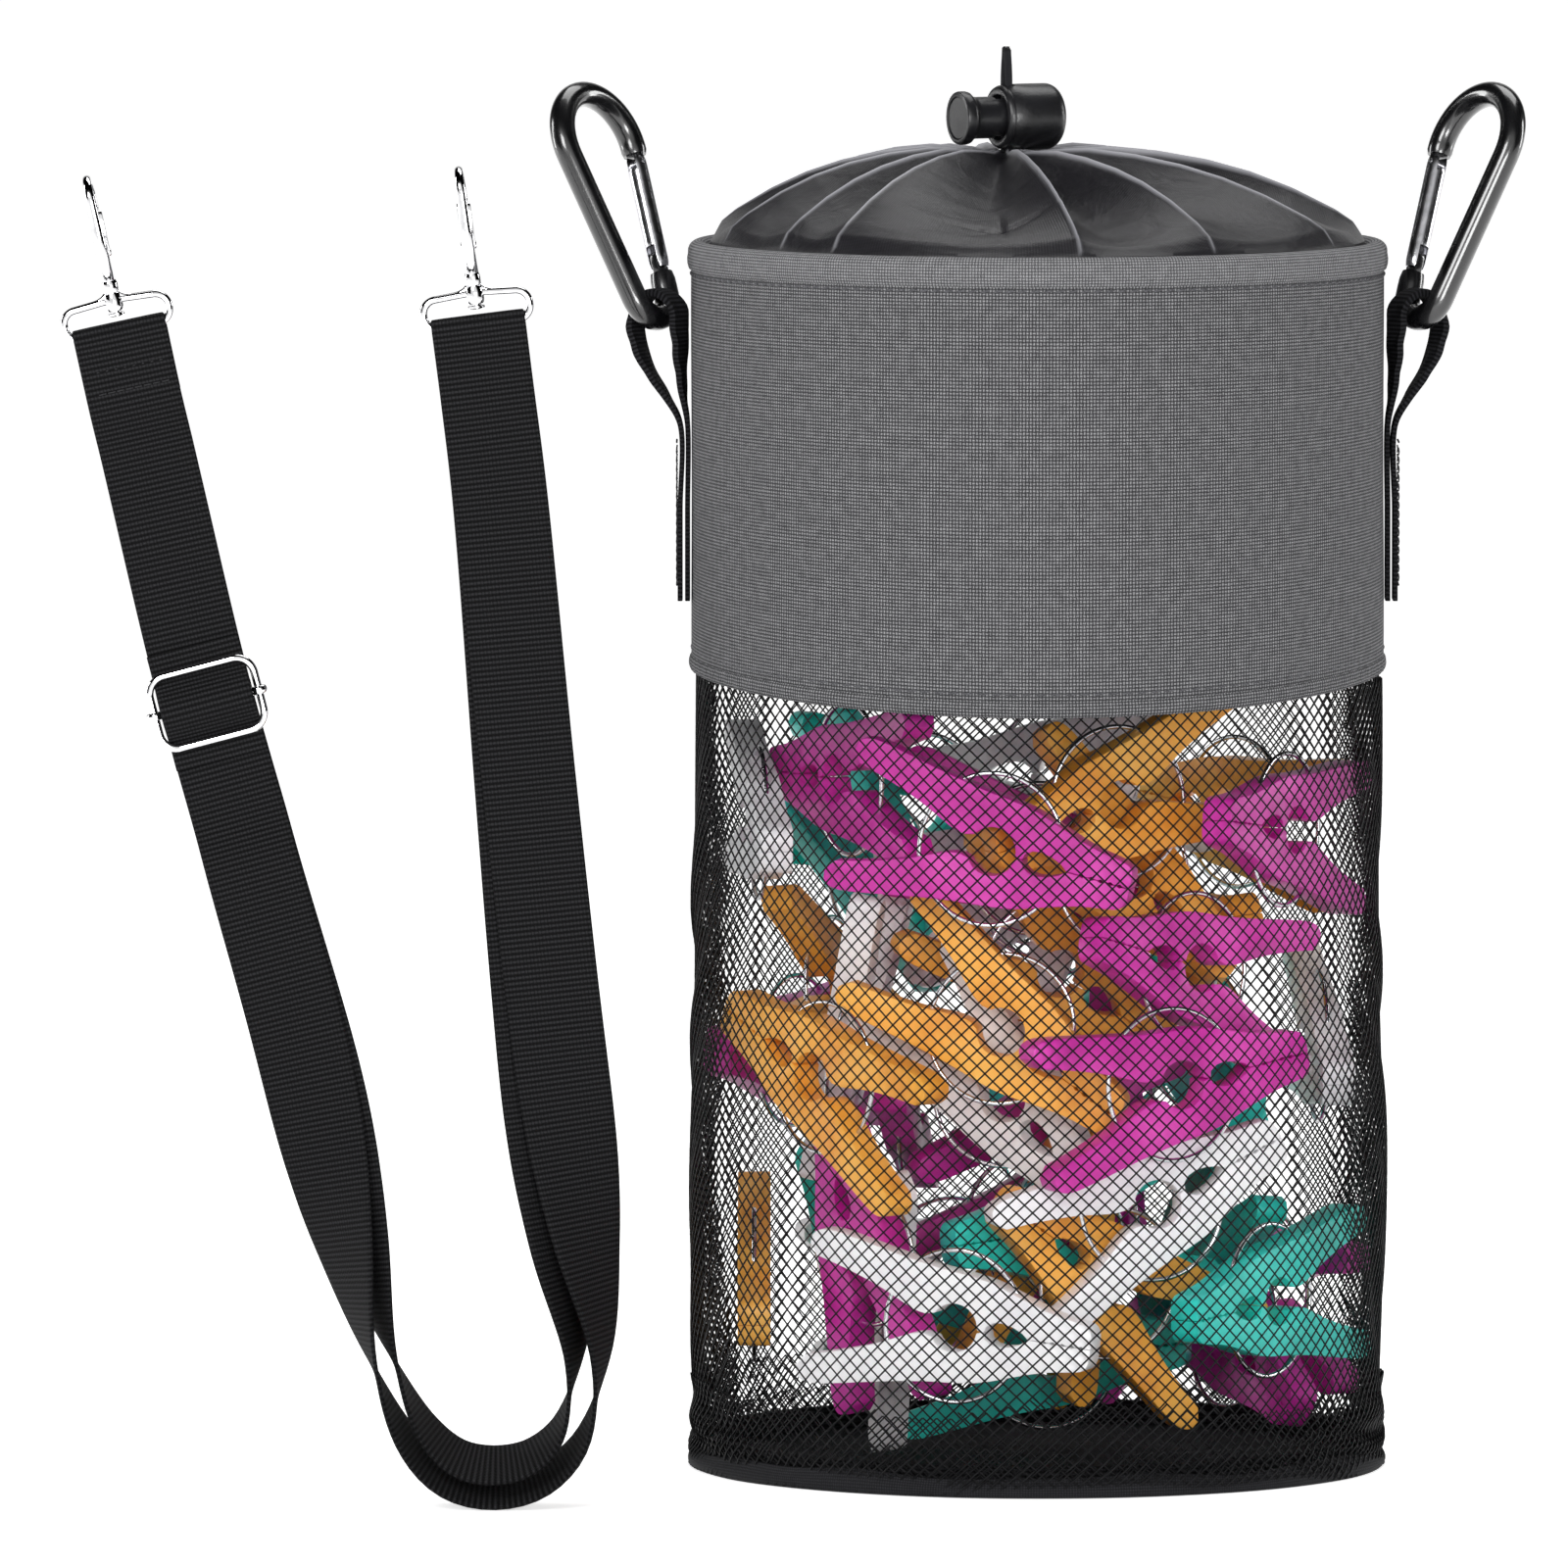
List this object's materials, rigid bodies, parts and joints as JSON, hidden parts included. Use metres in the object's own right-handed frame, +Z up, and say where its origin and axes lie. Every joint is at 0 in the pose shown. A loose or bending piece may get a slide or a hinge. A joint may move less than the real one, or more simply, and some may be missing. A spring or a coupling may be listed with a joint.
{
  "type": "peg bag",
  "caption": "Round drawstring peg bag with a stiff woven collar, a net body holding clothes pegs, side carabiners and a detachable adjustable shoulder strap.",
  "frame": {"origin": "centre of the underside of the bag's base, at floor level", "axes": "+Z up, -Y to the front, +X to the right as seen from the front; the shoulder strap stands to the left of the bag"},
  "size_m": [0.3713, 0.2059, 0.3634],
  "materials": {
    "collar_fabric": "coarse plain weave, matt grey",
    "collar_board": "thin flexible board sewn between the cloths",
    "lining_fabric": "thin dark lining cloth",
    "net_fabric": "black knitted net with diamond cells",
    "closure_satin": "black polyester satin, soft sheen",
    "webbing": "black ribbed webbing",
    "elastic_cord": "black round elastic cord",
    "black_plastic": "moulded, satin gloss",
    "black_metal": "gloss black anodised aluminium",
    "silver_metal": "bright satin",
    "bright_metal": "polished nickel plate",
    "spring_steel": "bright wire",
    "peg_magenta": "moulded, soft gloss",
    "peg_teal": "moulded, soft gloss",
    "peg_orange": "moulded, soft gloss",
    "peg_white": "moulded, soft gloss"
  },
  "bodies": {
    "bag": {"collar_outer_panel": "collar_fabric", "collar_stiffener": "collar_board", "collar_lining": "lining_fabric", "rim_piping": "collar_fabric", "collar_hem_binding": "collar_fabric", "mesh_body": "net_fabric", "base_panel": "net_fabric", "base_seam_tape": "webbing", "closure_skirt": "closure_satin", "drawcord": "elastic_cord", "left_side_tab": "webbing", "right_side_tab": "webbing", "strap_webbing": "webbing", "peg_01": "peg_white", "peg_02": "peg_teal", "peg_03": "peg_magenta", "peg_04": "peg_white", "peg_05": "peg_orange", "peg_06": "peg_orange", "peg_07": "peg_magenta", "peg_08": "peg_white", "peg_09": "peg_teal", "peg_10": "peg_magenta", "peg_11": "peg_magenta", "peg_12": "peg_magenta", "peg_13": "peg_orange", "peg_14": "peg_teal", "peg_15": "peg_white", "peg_16": "peg_orange", "peg_17": "peg_teal", "peg_18": "peg_orange", "peg_19": "peg_teal", "peg_20": "peg_orange", "peg_21": "peg_white", "peg_22": "peg_magenta"},
    "cord_lock": {"cord_lock_barrel": "black_plastic", "cord_lock_spring": "spring_steel"},
    "lock_button": {"cord_lock_button": "black_plastic"},
    "left_carabiner": {"left_carabiner_body": "black_metal", "left_gate_hinge_pin": "silver_metal", "left_gate_spring": "spring_steel"},
    "left_gate": {"left_carabiner_gate": "silver_metal", "left_gate_latch_pin": "silver_metal"},
    "right_carabiner": {"right_carabiner_body": "black_metal", "right_gate_hinge_pin": "silver_metal", "right_gate_spring": "spring_steel"},
    "right_gate": {"right_carabiner_gate": "silver_metal", "right_gate_latch_pin": "silver_metal"},
    "slider": {"slider_frame": "bright_metal", "slider_bar": "bright_metal"},
    "left_ring": {"left_hook_ring": "bright_metal"},
    "left_hook": {"left_hook_body": "bright_metal", "left_hook_rivet": "bright_metal", "left_hook_spring": "spring_steel"},
    "left_trigger": {"left_hook_gate": "bright_metal"},
    "right_ring": {"right_hook_ring": "bright_metal"},
    "right_hook": {"right_hook_body": "bright_metal", "right_hook_rivet": "bright_metal", "right_hook_spring": "spring_steel"},
    "right_trigger": {"right_hook_gate": "bright_metal"}
  },
  "joints": [
    {"name": "cord_lock_slide", "type": "slide", "parent": "bag", "child": "cord_lock", "axis": [0, 0, 1], "range_m": [0, 0.007]},
    {"name": "cord_lock_press", "type": "slide", "parent": "cord_lock", "child": "lock_button", "axis": [0.8988, 0.4384, 0], "range_m": [0, 0.003], "stiffness_N_per_m": 300, "springref_m": -0.004, "deforming": ["cord_lock_spring"]},
    {"name": "left_carabiner_swing", "type": "hinge", "parent": "bag", "child": "left_carabiner", "pos_m": [-0.0971, 0, 0.294], "axis": [-0.5878, -0.809, 0], "range_deg": [-5, 60]},
    {"name": "left_gate_press", "type": "hinge", "parent": "left_carabiner", "child": "left_gate", "pos_m": [-0.09696, 0.01055, 0.30834], "axis": [0.7447, -0.5411, 0.3907], "range_deg": [0, 32], "stiffness_Nm_per_rad": 0.02, "springref_deg": -28.65, "deforming": ["left_gate_spring"]},
    {"name": "right_carabiner_swing", "type": "hinge", "parent": "bag", "child": "right_carabiner", "pos_m": [0.0971, 0, 0.294], "axis": [-0.5878, 0.809, 0], "range_deg": [-5, 60]},
    {"name": "right_gate_press", "type": "hinge", "parent": "right_carabiner", "child": "right_gate", "pos_m": [0.09696, 0.01055, 0.30834], "axis": [0.7447, 0.5411, -0.3907], "range_deg": [0, 32], "stiffness_Nm_per_rad": 0.02, "springref_deg": -28.65, "deforming": ["right_gate_spring"]},
    {"name": "slider_slide", "type": "slide", "parent": "bag", "child": "slider", "axis": [-0.2533, 0, 0.9674], "range_m": [-0.015, 0.05], "deforming": ["strap_webbing"]},
    {"name": "left_ring_pivot", "type": "hinge", "parent": "bag", "child": "left_ring", "pos_m": [-0.2315, -0.105, 0.29645], "axis": [0.9774, 0, 0.2113], "range_deg": [-60, 60]},
    {"name": "left_hook_swivel", "type": "hinge", "parent": "left_ring", "child": "left_hook", "pos_m": [-0.2315, -0.105, 0.29645], "axis": [-0.2113, 0, 0.9774], "continuous": true},
    {"name": "left_hook_trigger", "type": "hinge", "parent": "left_hook", "child": "left_trigger", "pos_m": [-0.23568, -0.0997, 0.31579], "axis": [0.9774, 0, 0.2113], "range_deg": [0, 25], "stiffness_Nm_per_rad": 0.01, "springref_deg": -28.65, "deforming": ["left_hook_spring"]},
    {"name": "right_ring_pivot", "type": "hinge", "parent": "bag", "child": "right_ring", "pos_m": [-0.1415, -0.105, 0.29821], "axis": [0.9919, 0, 0.127], "range_deg": [-60, 60]},
    {"name": "right_hook_swivel", "type": "hinge", "parent": "right_ring", "child": "right_hook", "pos_m": [-0.1415, -0.105, 0.29821], "axis": [-0.127, 0, 0.9919], "continuous": true},
    {"name": "right_hook_trigger", "type": "hinge", "parent": "right_hook", "child": "right_trigger", "pos_m": [-0.14401, -0.0997, 0.31783], "axis": [0.9919, 0, 0.127], "range_deg": [0, 25], "stiffness_Nm_per_rad": 0.01, "springref_deg": -28.65, "deforming": ["right_hook_spring"]}
  ]
}
